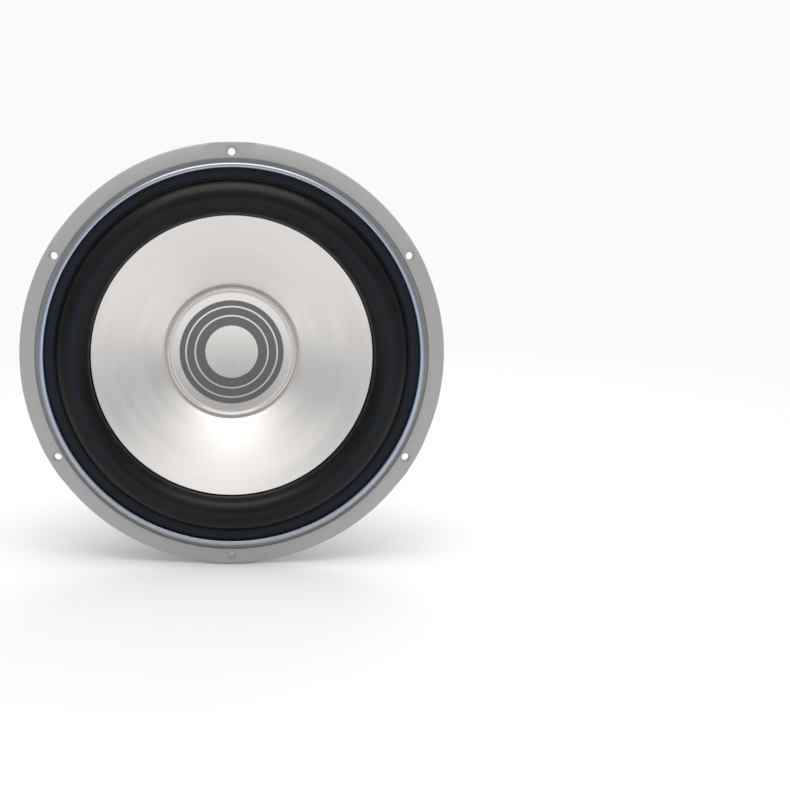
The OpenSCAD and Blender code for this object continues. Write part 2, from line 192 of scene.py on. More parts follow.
def eased(corners, steps=4):
    """An outline whose corners (x, y, radius) are rounded."""
    points = []
    for i, (x, y, r) in enumerate(corners):
        here = Vector((x, y))
        before = Vector(corners[i - 1][:2]) - here
        after = Vector(corners[(i + 1) % len(corners)][:2]) - here
        if r == 0:
            points.append((x, y))
            continue
        half = before.angle(after) / 2
        back = min(r / tan(half), before.length * 0.48, after.length * 0.48)
        a, c = here + before.normalized() * back, here + after.normalized() * back
        for k in range(steps + 1):
            t = k / steps
            p = a * (1 - t) ** 2 + here * 2 * t * (1 - t) + c * t * t
            points.append((p.x, p.y))
    return points


def flowing(points, per_span):
    """A smooth line through the points, with the same number of steps in every span."""
    line = []
    for i in range(len(points) - 1):
        p0, p1 = Vector(points[max(i - 1, 0)]), Vector(points[i])
        p2, p3 = Vector(points[i + 1]), Vector(points[min(i + 2, len(points) - 1)])
        for k in range(per_span):
            t = k / per_span
            line.append(p1 + (p2 - p0) * t / 2 + (p0 * 2 - p1 * 5 + p2 * 4 - p3) * t * t / 2
                        + (p1 * 3 - p0 - p2 * 3 + p3) * t ** 3 / 2)
    return line + [Vector(points[-1])]


# ---- meshes ----

def spin(bm, outline, steps, closed=True):
    """Spin an outline of (radius, height) in millimetres about the driver's axis."""
    verts = [bm.verts.new((r * MM, y * MM, 0)) for r, y in outline]
    ends = verts[1:] + verts[:1] if closed else verts[1:]
    edges = [bm.edges.new(pair) for pair in zip(verts, ends)]
    bmesh.ops.spin(bm, geom=verts + edges, cent=(0, 0, 0), axis=AXIS, angle=2 * pi, steps=steps,
                   use_merge=True)
    bmesh.ops.remove_doubles(bm, verts=bm.verts, dist=WELD)
    bmesh.ops.recalc_face_normals(bm, faces=bm.faces)


def finish_piece(name, bm, material, body, nodes=(), sharp=32):
    """Make the object: its mesh, shading, material, body and the nodes it stands for."""
    mesh = bpy.data.meshes.new(name)
    bm.to_mesh(mesh)
    bm.free()
    mesh.shade_smooth()
    mesh.set_sharp_from_angle(angle=radians(sharp))
    return finish_mesh(name, mesh, material, body, nodes)


def finish_mesh(name, mesh, material, body, nodes=()):
    """Put a finished mesh in the scene."""
    piece = bpy.data.objects.new(name, mesh)
    bpy.context.scene.collection.objects.link(piece)
    mesh.materials.clear()
    mesh.materials.append(material)
    if body:
        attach(piece, body)
    if nodes:
        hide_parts(*nodes)
    return piece


def spun_piece(name, outline, material, body, nodes=(), steps=None, sharp=32, closed=True):
    """A piece spun from one outline."""
    bm = bmesh.new()
    spin(bm, outline, steps or bpy.context.scene.driver_shape.spin_steps, closed)
    return finish_piece(name, bm, material, body, nodes, sharp)


def eased_copy(node, width, material, body, segments=2, angle=32):
    """A copy of a CAD node with its sharp edges rounded, standing for that node."""
    bm = bmesh.new()
    bm.from_mesh(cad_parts[node].data)
    bmesh.ops.remove_doubles(bm, verts=bm.verts, dist=WELD)
    bmesh.ops.dissolve_limit(bm, angle_limit=radians(0.5), verts=bm.verts, edges=bm.edges)
    sharp = [e for e in bm.edges if e.calc_face_angle(0) > radians(angle)]
    bmesh.ops.bevel(bm, geom=sharp, offset=width, offset_type="OFFSET", affect="EDGES",
                    segments=segments, profile=0.5, material=-1, clamp_overlap=True)
    bmesh.ops.remove_doubles(bm, verts=bm.verts, dist=WELD)
    bmesh.ops.triangulate(bm, faces=[f for f in bm.faces if len(f.verts) > 4])
    return finish_piece(node + "_finish", bm, material, body, [node])


def wires(name, lines, thickness, material, body, nodes=(), sides=2):
    """Round wires along lines of points in metres."""
    curve = bpy.data.curves.new(name, "CURVE")
    curve.dimensions = "3D"
    curve.bevel_depth = thickness / 2
    curve.bevel_resolution = sides
    curve.use_fill_caps = True
    for line in lines:
        spline = curve.splines.new("POLY")
        spline.points.add(len(line) - 1)
        for point, place in zip(spline.points, line):
            point.co = (*place, 1)
    carrier = bpy.data.objects.new(name + "_line", curve)
    bpy.context.scene.collection.objects.link(carrier)
    bpy.context.view_layer.update()
    shape = carrier.evaluated_get(bpy.context.evaluated_depsgraph_get())
    bm = bmesh.new()
    bm.from_mesh(shape.to_mesh())
    shape.to_mesh_clear()
    bpy.data.objects.remove(carrier)
    bpy.data.curves.remove(curve)
    bmesh.ops.remove_doubles(bm, verts=bm.verts, dist=WELD)
    bmesh.ops.recalc_face_normals(bm, faces=bm.faces)
    return finish_piece(name, bm, material, body, nodes, sharp=60)


def bead(bm, centre, radius, squash, seed):
    """A lumpy bead of solder or glue."""
    made = bmesh.ops.create_icosphere(bm, subdivisions=3, radius=radius * MM)["verts"]
    for v in made:
        lump = noise.noise(v.co * 1400 + Vector((seed, 0, 0)))
        v.co = Vector((v.co.x, v.co.y * squash, v.co.z)) * (1 + 0.12 * lump) + centre


def radial_blend(piece, inner, outer, moving="cone_assembly"):
    """Let a ring bend between the still frame at its outer radius and the moving cone at its inner one."""
    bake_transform(piece, "frame", moving, start=(outer * MM, 0, 0), end=(inner * MM, 0, 0))
    weights = piece.data.attributes["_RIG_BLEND"].data
    for vertex, weight in zip(piece.data.vertices, weights):
        share = (outer - hypot(vertex.co.x, vertex.co.z) / MM) / (outer - inner)
        share = min(max(share, 0.0), 1.0)
        weight.value = share * share * (3 - 2 * share)


# ---- shader nodes ----

def add(tree, kind, inputs=None, **fields):
    """Add a shader node, set its fields and fill its inputs with values or links."""
    node = tree.nodes.new("ShaderNode" + kind)
    for field, value in fields.items():
        setattr(node, field, value)
    for name, value in (inputs or {}).items():
        if isinstance(value, bpy.types.NodeSocket):
            tree.links.new(value, node.inputs[name])
        else:
            node.inputs[name].default_value = value
    return node


def maths(tree, operation, *values, clamp=False):
    """The result of one Math node."""
    node = add(tree, "Math", dict(enumerate(values)), operation=operation, use_clamp=clamp)
    return node.outputs[0]


def ranged(tree, value, low, high, to_low, to_high):
    """A value carried from one range to another, kept within the second."""
    node = add(tree, "MapRange", {"Value": value, "From Min": low, "From Max": high,
                                  "To Min": to_low, "To Max": to_high})
    return node.outputs["Result"]


def blended(tree, share, first, second):
    """Two colours mixed by a share."""
    node = add(tree, "Mix", {0: share}, data_type="RGBA")
    for socket, colour in ((node.inputs[6], first), (node.inputs[7], second)):
        if isinstance(colour, bpy.types.NodeSocket):
            tree.links.new(colour, socket)
        else:
            socket.default_value = (*colour[:3], 1)
    return node.outputs[2]


def effect(name, inputs, outputs, fill):
    """A shared effect as a shader node group, made once."""
    group = bpy.data.node_groups.get(name)
    if group:
        return group
    group = bpy.data.node_groups.new(name, "ShaderNodeTree")
    for title, value in inputs.items():
        socket = group.interface.new_socket(title, in_out="INPUT", socket_type="NodeSocketFloat")
        socket.default_value = value
    for title in outputs:
        group.interface.new_socket(title, in_out="OUTPUT", socket_type="NodeSocketFloat")
    taken = group.nodes.new("NodeGroupInput").outputs
    given = group.nodes.new("NodeGroupOutput").inputs
    for title, socket in zip(outputs, fill(group, taken)):
        group.links.new(socket, given[title])
    return group


def place(tree, group, **values):
    """Place a shared effect in a material and return its outputs."""
    node = tree.nodes.new("ShaderNodeGroup")
    node.node_tree = group
    for title, value in values.items():
        node.inputs[title.replace("_", " ").capitalize()].default_value = value
    return node.outputs


def around_axis(tree):
    """Radius and height in metres, and the direction round the driver's axis as two values."""
    parts = add(tree, "SeparateXYZ", {0: add(tree, "TexCoord").outputs["Object"]}).outputs
    square = maths(tree, "ADD", maths(tree, "MULTIPLY", parts[0], parts[0]),
                   maths(tree, "MULTIPLY", parts[2], parts[2]))
    radius = maths(tree, "SQRT", square)
    return radius, parts[1], maths(tree, "DIVIDE", parts[0], radius), maths(tree, "DIVIDE", parts[2], radius)


def turning_marks():
    """Fine grooves left round a spun or turned piece, uneven along their length."""
    def fill(tree, taken):
        radius, height, across, up = around_axis(tree)
        along = maths(tree, "DIVIDE", maths(tree, "ADD", radius, height), taken["Pitch"])
        line = add(tree, "CombineXYZ", {0: along, 1: maths(tree, "MULTIPLY", across, taken["Swirl"]),
                                        2: maths(tree, "MULTIPLY", up, taken["Swirl"])})
        fine = add(tree, "TexNoise", {"Vector": line.outputs[0], "Scale": 1.0, "Detail": 3.0})
        broad = add(tree, "VectorMath", {0: line.outputs[0], 1: (0.12, 1.6, 1.6)}, operation="MULTIPLY")
        wide = add(tree, "TexNoise", {"Vector": broad.outputs[0], "Scale": 1.0, "Detail": 2.0})
        return fine.outputs[0], wide.outputs[0]
    return effect("Turning marks", {"Pitch": 0.00035, "Swirl": 0.8}, ("Groove", "Band"), fill)


def painted_reflection_fans():
    """Painted reflection: slow darker sectors round the axis, the same at every radius, standing in for the
    sectors of reflected light seen on spun metal.
    """
    def fill(tree, taken):
        _, _, across, up = around_axis(tree)
        line = add(tree, "CombineXYZ", {0: maths(tree, "MULTIPLY", across, taken["Count"]),
                                        1: maths(tree, "MULTIPLY", up, taken["Count"])})
        reflection_fan = add(tree, "TexNoise", {"Vector": line.outputs[0], "Scale": 1.0, "Detail": 4.0})
        return (reflection_fan.outputs[0],)
    return effect("Painted reflection fans", {"Count": 5.0}, ("Reflection fan",), fill)


def surface_grain():
    """Fine grain over a broader unevenness, in the piece's own coordinates."""
    def fill(tree, taken):
        spot = add(tree, "TexCoord").outputs["Object"]
        fine = add(tree, "TexNoise", {"Vector": spot, "Scale": taken["Fine"], "Detail": 4.0,
                                      "Roughness": 0.6})
        broad = add(tree, "TexNoise", {"Vector": spot, "Scale": taken["Broad"], "Detail": 2.0})
        height = maths(tree, "ADD", maths(tree, "MULTIPLY", fine.outputs[0], taken["Mix"]),
                       broad.outputs[0])
        return height, broad.outputs[0]
    return effect("Surface grain", {"Fine": 2600.0, "Broad": 260.0, "Mix": 1.0},
                  ("Height", "Cloud"), fill)


def edge_wear():
    """Where a piece's edges have been rubbed, broken up so that it isn't an even line."""
    def fill(tree, taken):
        soft = add(tree, "Bevel", {"Radius": taken["Width"]}, samples=4).outputs[0]
        plain = add(tree, "NewGeometry").outputs["Normal"]
        same = add(tree, "VectorMath", {0: soft, 1: plain}, operation="DOT_PRODUCT").outputs["Value"]
        turned = maths(tree, "MULTIPLY", maths(tree, "SUBTRACT", 1.0, same), taken["Amount"])
        spot = add(tree, "TexCoord").outputs["Object"]
        patches = add(tree, "TexNoise", {"Vector": spot, "Scale": 180.0, "Detail": 3.0}).outputs[0]
        broken = maths(tree, "MULTIPLY", turned, ranged(tree, patches, 0.35, 0.7, 0.15, 1.0), clamp=True)
        return (broken,)
    return effect("Edge wear", {"Width": 0.0007, "Amount": 4.0}, ("Worn",), fill)


def handling():
    """Faint smudges and settled dust, as one mask from 0 to 1."""
    def fill(tree, taken):
        spot = add(tree, "TexCoord").outputs["Object"]
        cloud = add(tree, "TexNoise", {"Vector": spot, "Scale": taken["Size"], "Detail": 5.0,
                                       "Distortion": 0.8}).outputs[0]
        specks = add(tree, "TexVoronoi", {"Vector": spot, "Scale": 900.0}).outputs["Distance"]
        dust = ranged(tree, specks, 0.08, 0.16, 0.35, 0.0)
        return (maths(tree, "ADD", ranged(tree, cloud, 0.42, 0.72, 0.0, 1.0), dust, clamp=True),)
    return effect("Handling", {"Size": 22.0}, ("Smudge",), fill)


def plain_weave():
    """Threads of a flat woven cloth, crossing along the X and Z directions."""
    def fill(tree, taken):
        parts = add(tree, "SeparateXYZ", {0: add(tree, "TexCoord").outputs["Object"]}).outputs
        warp = maths(tree, "DIVIDE", parts[0], taken["Pitch"])
        weft = maths(tree, "DIVIDE", parts[2], taken["Pitch"])
        over = maths(tree, "SINE", maths(tree, "MULTIPLY", warp, pi))
        under = maths(tree, "SINE", maths(tree, "MULTIPLY", weft, pi))
        cross = maths(tree, "MULTIPLY", over, under)
        thread = maths(tree, "MULTIPLY_ADD", cross, 0.5, 0.5)
        gaps = maths(tree, "MULTIPLY", maths(tree, "ABSOLUTE", over), maths(tree, "ABSOLUTE", under))
        return thread, gaps
    return effect("Plain weave", {"Pitch": 0.0007}, ("Thread", "Fill"), fill)


class Finish:
    """A material in the making: one Principled shader with its constants, then its texture links."""

    def __init__(self, name, colour, roughness, metallic=0.0, **constants):
        self.material = bpy.data.materials.new(name)
        self.material.use_nodes = True
        self.tree = self.material.node_tree
        self.shader = self.tree.nodes["Principled BSDF"]
        self.colour = colour
        self.shader.inputs["Base Color"].default_value = (*colour, 1)
        self.shader.inputs["Roughness"].default_value = roughness
        self.shader.inputs["Metallic"].default_value = metallic
        sockets = {socket.name.lower(): socket for socket in self.shader.inputs}
        for title, value in constants.items():
            sockets[title.replace("_", " ")].default_value = value
        self.material.diffuse_color = (*colour, 1)

    def tint(self, share, colour, amount=1.0):
        """Mix a second colour into the base colour by a mask."""
        base = self.shader.inputs["Base Color"]
        first = base.links[0].from_socket if base.is_linked else self.colour
        share = maths(self.tree, "MULTIPLY", share, amount, clamp=True)
        self.tree.links.new(blended(self.tree, share, first, colour), base)
        return self

    def polish(self, value, low, high, start=0.3, end=0.7):
        """Let the roughness run from low to high as a value runs from start to end."""
        self.tree.links.new(ranged(self.tree, value, start, end, low, high), self.shader.inputs["Roughness"])
        return self

    def relief(self, height, distance, strength=1.0):
        """Bump from a height, over any bump already there."""
        normal = self.shader.inputs["Normal"]
        inputs = {"Height": height, "Distance": distance, "Strength": strength}
        if normal.is_linked:
            inputs["Normal"] = normal.links[0].from_socket
        self.tree.links.new(add(self.tree, "Bump", inputs).outputs[0], normal)
        return self

    def brushed_round(self, amount):
        """Stretch highlights across grooves that run round the axis."""
        self.shader.inputs["Anisotropic"].default_value = amount
        tangent = add(self.tree, "Tangent", direction_type="RADIAL", axis="Y")
        self.tree.links.new(tangent.outputs[0], self.shader.inputs["Tangent"])
        return self


# ---- finishes ----

def basket_paint():
    finish = Finish("Basket powder coat", bpy.context.scene.driver_finish.paint, 0.46, 0.15)
    grain = place(finish.tree, surface_grain(), fine=2400.0, broad=420.0, mix=0.8)
    worn = place(finish.tree, edge_wear(), width=0.0008, amount=3.0)
    smudge = place(finish.tree, handling(), size=16.0)
    finish.tint(grain["Cloud"], (0.36, 0.36, 0.36), 0.35)
    finish.tint(worn["Worn"], (0.62, 0.62, 0.62), 0.7)
    finish.polish(smudge["Smudge"], 0.42, 0.56, 0.0, 1.0)
    finish.relief(grain["Height"], 0.00010, 0.55)
    return finish.material


def surround_rubber(name="Surround rubber", roughness=(0.28, 0.40)):
    finish = Finish(name, bpy.context.scene.driver_finish.rubber, 0.4, specular_ior_level=0.2)
    grain = place(finish.tree, surface_grain(), fine=3600.0, broad=90.0, mix=0.35)
    smudge = place(finish.tree, handling(), size=30.0)
    finish.tint(smudge["Smudge"], (0.009, 0.0092, 0.0092), 0.5)
    finish.polish(smudge["Smudge"], *roughness, 0.0, 1.0)
    finish.relief(grain["Height"], 0.00006, 0.5)
    return finish.material


def spun_aluminium(name, colour, low, high, pitch=0.0004, stretch=0.7):
    finish = Finish(name, colour, low, 1.0)
    marks = place(finish.tree, turning_marks(), pitch=pitch, swirl=0.7)
    reflection_fans = place(finish.tree, painted_reflection_fans(), count=4.0)
    # Painted reflection: darker sectors round the axis in the base colour, copying the reflected light on
    # spun metal.
    finish.tint(reflection_fans["Reflection fan"], tuple(c * 0.90 for c in colour), 0.6)
    deep = ranged(finish.tree, marks["Groove"], 0.55, 0.8, 0.0, 1.0)
    finish.tint(deep, tuple(c * 0.8 for c in colour), 0.35)
    finish.polish(marks["Band"], low, high)
    finish.relief(marks["Groove"], 0.000012, 0.6)
    finish.brushed_round(stretch)
    return finish


# Inner and outer radius of each ring printed on the dust cap, and the radius the ramp spans, in mm
PRINTED_RINGS = ((20, 27), (28.2, 34), (35.2, 39.5))
PRINT_REACH = 50


def cap_aluminium():
    """Bright aluminium with plain rings printed round the dish."""
    look = bpy.context.scene.driver_finish
    finish = spun_aluminium("Dust cap aluminium", tuple(look.cone), 0.17, 0.26, 0.00045, 0.5)
    radius = around_axis(finish.tree)[0]
    ring = add(finish.tree, "ValToRGB", {0: maths(finish.tree, "MULTIPLY", radius, 1 / (PRINT_REACH * MM))})
    ramp = ring.color_ramp
    ramp.interpolation = "CONSTANT"
    for inner, outer in PRINTED_RINGS:
        ramp.elements.new(inner / PRINT_REACH).color = (1, 1, 1, 1)
        ramp.elements.new(outer / PRINT_REACH).color = (0, 0, 0, 1)
    ramp.elements[0].color = (0, 0, 0, 1)
    ramp.elements[-1].color = (0, 0, 0, 1)
    spot = add(finish.tree, "TexCoord").outputs["Object"]
    speck = add(finish.tree, "TexNoise", {"Vector": spot, "Scale": 2400.0, "Detail": 2.0}).outputs[0]
    inked = maths(finish.tree, "MULTIPLY", ring.outputs[0], ranged(finish.tree, speck, 0.25, 0.4, 0.6, 1.0))
    finish.tint(inked, tuple(look.print_ink), 0.92)
    metal = maths(finish.tree, "MULTIPLY_ADD", inked, -0.75, 1.0)
    finish.tree.links.new(metal, finish.shader.inputs["Metallic"])
    return finish.material


def chrome(name, colour=(0.88, 0.885, 0.9), low=0.05, high=0.14, pitch=0.0006):
    finish = Finish(name, colour, low, 1.0)
    marks = place(finish.tree, turning_marks(), pitch=pitch, swirl=2.0)
    smudge = place(finish.tree, handling(), size=18.0)
    worn = place(finish.tree, edge_wear(), width=0.0005, amount=3.0)
    finish.tint(smudge["Smudge"], tuple(c * 0.9 for c in colour), 0.4)
    finish.tint(worn["Worn"], tuple(c * 0.72 for c in colour), 0.5)
    finish.polish(smudge["Smudge"], low, high, 0.0, 1.0)
    finish.relief(marks["Groove"], 0.000004, 0.25)
    return finish.material


def plated(name, colour, low=0.22, high=0.4, fine=1800.0):
    finish = Finish(name, colour, low, 1.0)
    grain = place(finish.tree, surface_grain(), fine=fine, broad=300.0, mix=0.6)
    worn = place(finish.tree, edge_wear(), width=0.0003, amount=4.0)
    finish.tint(grain["Cloud"], tuple(c * 0.78 for c in colour), 0.6)
    finish.tint(worn["Worn"], tuple(min(c * 1.25, 1) for c in colour), 0.6)
    finish.polish(grain["Cloud"], low, high)
    finish.relief(grain["Height"], 0.00002, 0.4)
    return finish.material


def plastic(name, colour, low=0.18, high=0.34, worn_colour=(0.3, 0.3, 0.3), **constants):
    finish = Finish(name, colour, low, **constants)
    grain = place(finish.tree, surface_grain(), fine=2200.0, broad=160.0, mix=0.3)
    worn = place(finish.tree, edge_wear(), width=0.0003, amount=3.0)
    smudge = place(finish.tree, handling(), size=60.0)
    finish.tint(grain["Cloud"], tuple(c * 0.7 for c in colour), 0.4)
    finish.tint(worn["Worn"], worn_colour, 0.25)
    finish.polish(smudge["Smudge"], low, high, 0.0, 1.0)
    finish.relief(grain["Height"], 0.00002, 0.4)
    return finish.material


def ferrite():
    finish = Finish("Sintered ferrite", (0.045, 0.045, 0.048), 0.6, 0.2)
    grain = place(finish.tree, surface_grain(), fine=1500.0, broad=200.0, mix=1.0)
    worn = place(finish.tree, edge_wear(), width=0.0009, amount=3.0)
    finish.tint(grain["Cloud"], (0.09, 0.09, 0.095), 0.6)
    finish.tint(worn["Worn"], (0.16, 0.16, 0.17), 0.5)
    finish.polish(grain["Cloud"], 0.5, 0.72)
    finish.relief(grain["Height"], 0.00012, 0.7)
    return finish.material


def spider_cloth():
    cloth = tuple(bpy.context.scene.driver_finish.cloth)
    finish = Finish("Spider cloth", cloth, 0.8, sheen_weight=0.25, sheen_roughness=0.6)
    weave = place(finish.tree, plain_weave(), pitch=0.0008)
    grain = place(finish.tree, surface_grain(), fine=1600.0, broad=120.0, mix=0.5)
    finish.tint(weave["Thread"], tuple(c * 0.55 for c in cloth), 0.6)
    finish.tint(ranged(finish.tree, weave["Fill"], 0.0, 0.12, 1.0, 0.0), tuple(c * 0.15 for c in cloth), 0.8)
    finish.tint(grain["Cloud"], tuple(min(c * 1.35, 1) for c in cloth), 0.35)
    finish.polish(grain["Cloud"], 0.68, 0.9)
    finish.relief(grain["Height"], 0.00008, 0.4)
    finish.relief(weave["Thread"], 0.00018, 0.8)
    return finish.material


def wound_copper():
    finish = Finish("Enamelled copper", (0.72, 0.33, 0.16), 0.24, 1.0)
    grain = place(finish.tree, surface_grain(), fine=1200.0, broad=200.0, mix=0.5)
    finish.tint(grain["Cloud"], (0.45, 0.16, 0.07), 0.6)
    finish.polish(grain["Cloud"], 0.18, 0.34)
    finish.relief(grain["Height"], 0.00002, 0.4)
    return finish.material


def former_film():
    finish = Finish("Amber former film", (0.36, 0.17, 0.05), 0.32, coat_weight=0.3)
    marks = place(finish.tree, turning_marks(), pitch=0.0016, swirl=0.4)
    grain = place(finish.tree, surface_grain(), fine=700.0, broad=80.0, mix=0.3)
    finish.tint(marks["Band"], (0.20, 0.085, 0.025), 0.7)
    finish.polish(grain["Cloud"], 0.25, 0.42)
    finish.relief(marks["Groove"], 0.00003, 0.4)
    return finish.material


def tinsel_braid():
    finish = Finish("Tinsel braid", (0.16, 0.115, 0.09), 0.5, 0.35, sheen_weight=0.15)
    grain = place(finish.tree, surface_grain(), fine=5200.0, broad=900.0, mix=1.0)
    finish.tint(ranged(finish.tree, grain["Height"], 1.0, 1.3, 0.0, 1.0), (0.55, 0.33, 0.2), 0.6)
    finish.tint(ranged(finish.tree, grain["Cloud"], 0.35, 0.5, 1.0, 0.0), (0.02, 0.018, 0.016), 0.7)
    finish.polish(grain["Cloud"], 0.38, 0.62)
    finish.relief(grain["Height"], 0.00008, 0.8)
    return finish.material


# ---- the pieces ----

class DRIVER_OT_basket(bpy.types.Operator):
    """Round the cast basket's edges and paint it"""
    bl_idname = "driver.basket"
    bl_label = "Basket"

    def execute(self, context):
        eased_copy("basket", context.scene.driver_shape.edge, basket_paint(), "frame")
        return {"FINISHED"}


class DRIVER_OT_trim_ring(bpy.types.Operator):
    """Spin the silver trim ring that holds the surround's lip"""
    bl_idname = "driver.trim_ring"
    bl_label = "Trim ring"

    def execute(self, context):
        finish = spun_aluminium("Trim ring silver", (0.40, 0.42, 0.455), 0.24, 0.34, 0.0005, 0.0)
        bead_r = (TRIM_R - TRIM_BORE) / 2
        foot_r, lip_top = LIP_R + 0.15, LIP_FRONT - 0.02
        outline = [(TRIM_BORE, lip_top), (foot_r, lip_top), (foot_r, TRIM_REAR), (TRIM_R, TRIM_REAR)]
        outline += arc(TRIM_R - bead_r, TRIM_FRONT + bead_r, bead_r, 0, -180, 28)
        spun_piece("trim_ring_finish", outline, finish.material, "frame", ["trim_ring"])
        return {"FINISHED"}


class DRIVER_OT_surround(bpy.types.Operator):
    """Spin the rubber half roll with its glued lips, free to bend with the cone"""
    bl_idname = "driver.surround"
    bl_label = "Surround"

    def execute(self, context):
        inner, outer = ROLL_CENTRE - ROLL_R, ROLL_CENTRE + ROLL_R
        behind = cone_height(99) + 2
        outside = arc(ROLL_CENTRE, LIP_FRONT, ROLL_R, 180, 360, 56)
        inside = arc(ROLL_CENTRE, LIP_FRONT, ROLL_R - RUBBER_WALL, 360, 180, 40)
        lip = [(outer + 0.9, LIP_FRONT + 0.32), (outer + 1.7, LIP_FRONT), (LIP_R, LIP_FRONT),
               (LIP_R, LIP_FRONT + RUBBER_WALL),
               (outer - RUBBER_WALL, LIP_FRONT + RUBBER_WALL)]
        foot = [(inner + RUBBER_WALL, CONE_EDGE + 3.4), (99, behind + RUBBER_WALL), (99, behind),
                (inner, CONE_EDGE + 2.2)]
        piece = spun_piece("surround_rubber", outside + lip + inside + foot, surround_rubber(),
                           None, ["surround"], sharp=40)
        radial_blend(piece, inner, outer)
        return {"FINISHED"}


class DRIVER_OT_spider(bpy.types.Operator):
    """Spin the corrugated cloth spider and its bead of glue"""
    bl_idname = "driver.spider"
    bl_label = "Spider"

    def execute(self, context):
        waves = context.scene.driver_shape.spider_waves
        inner, outer, flat, wall = 31.0, 59.5, 69.8, 0.9
        line = [(FORMER_R + 0.4, flat - 2.9), (FORMER_R + 0.5, flat - 1.2), (FORMER_R + 1.4, flat - 0.2),
                (29.4, flat)]
        steps = waves * 14
        for i in range(steps + 1):
            line.append((inner + (outer - inner) * i / steps, flat - 2.4 * sin(2 * pi * waves * i / steps)))
        line.append((SPIDER_R - 0.1, flat))
        far = [(r, y + wall) for r, y in reversed(line)]
        far[-1] = (FORMER_R + 0.4, flat)
        far[-2] = (FORMER_R + 0.9, flat + 0.5)
        piece = spun_piece("spider_cloth", line + far, spider_cloth(), None, ["spider"],
                           sharp=50)
        radial_blend(piece, inner, outer)
        return {"FINISHED"}


class DRIVER_OT_cone(bpy.types.Operator):
    """Spin the aluminium cone"""
    bl_idname = "driver.cone"
    bl_label = "Cone"

    def execute(self, context):
        foot = (CAP_R, cone_height(CAP_R))
        neck = [foot, (45, 32.2), (38.5, 38.6), (33, 46.4), (29, 54.6), (FORMER_R + 0.2, 60.5),
                (FORMER_R + 0.2, CONE_NECK)]
        face = [(CONE_FACE_R, CONE_EDGE)]
        rise = (foot[1] - CONE_EDGE) / 10
        run = (CONE_FACE_R - CAP_R) / 10
        face += [(CONE_FACE_R - run * i, CONE_EDGE + rise * i) for i in range(1, 10)]
        face += [tuple(p) for p in flowing(neck, 5)]
        back = []
        for i, (r, y) in enumerate(face):
            near = Vector(face[max(i - 1, 0)])
            far = Vector(face[min(i + 1, len(face) - 1)])
            out = (far - near).normalized()
            back.append((r + out.y * CONE_WALL, y - out.x * CONE_WALL))
        back = [(min(r, CONE_R), min(y, CONE_NECK)) for r, y in reversed(back)]
        finish = spun_aluminium("Cone aluminium", tuple(context.scene.driver_finish.cone), 0.27, 0.36)
        spun_piece("cone_spun", face + back, finish.material, "cone_assembly", ["cone"],
                   sharp=40)
        return {"FINISHED"}


class DRIVER_OT_dust_cap(bpy.types.Operator):
    """Spin the dust cap: a beaded rim round a shallow dish"""
    bl_idname = "driver.dust_cap"
    bl_label = "Dust cap"

    def execute(self, context):
        rim, wall = CAP_FRONT + 1.1, 0.7
        dish_r, depth, bead_r = 46.4, 4.6, 47.7
        foot_y = cone_height(CAP_R)

        def dish(r):
            return rim - 0.2 + depth * (1 - (r / dish_r) ** 2)
        face = [(dish_r * i / 24, dish(dish_r * i / 24)) for i in range(25)]
        bead_line = arc(bead_r, rim, 1.1, 188, 345, 12)
        foot = [(CAP_R - 0.6, foot_y - 1.0), (CAP_R, foot_y - 0.2)]
        back = [(CAP_R - 0.9, foot_y + 0.3), (bead_r + 0.3, rim + 1.5)]
        back += [(r, y + wall) for r, y in reversed(face)]
        spun_piece("dust_cap_spun", face + bead_line + foot + back, cap_aluminium(),
                   "cone_assembly", ["dust_cap"], closed=False)
        return {"FINISHED"}


class DRIVER_OT_voice_coil(bpy.types.Operator):
    """Spin the film former and the coil wound on it"""
    bl_idname = "driver.voice_coil"
    bl_label = "Voice coil"

    def execute(self, context):
        wall = 0.55
        former = eased([(FORMER_R - wall, FORMER_FRONT, 0.1), (FORMER_R, FORMER_FRONT, 0.1),
                        (FORMER_R, FORMER_REAR, 0.1), (FORMER_R - wall, FORMER_REAR, 0.1)], 2)
        spun_piece("coil_former_film", former, former_film(), "cone_assembly",
                   ["coil_former"], steps=128)
        turns = context.scene.driver_shape.windings
        pitch = (COIL_REAR - COIL_FRONT) / turns
        wound = [(FORMER_R + 0.05, COIL_REAR), (FORMER_R + 0.05, COIL_FRONT)]
        for i in range(turns):
            wound += arc(COIL_R - pitch / 2, COIL_FRONT + (i + 0.5) * pitch, pitch / 2, -80, 80, 3)
        spun_piece("voice_coil_windings", wound, wound_copper(), "cone_assembly",
                   ["voice_coil"], steps=96, sharp=70)
        return {"FINISHED"}


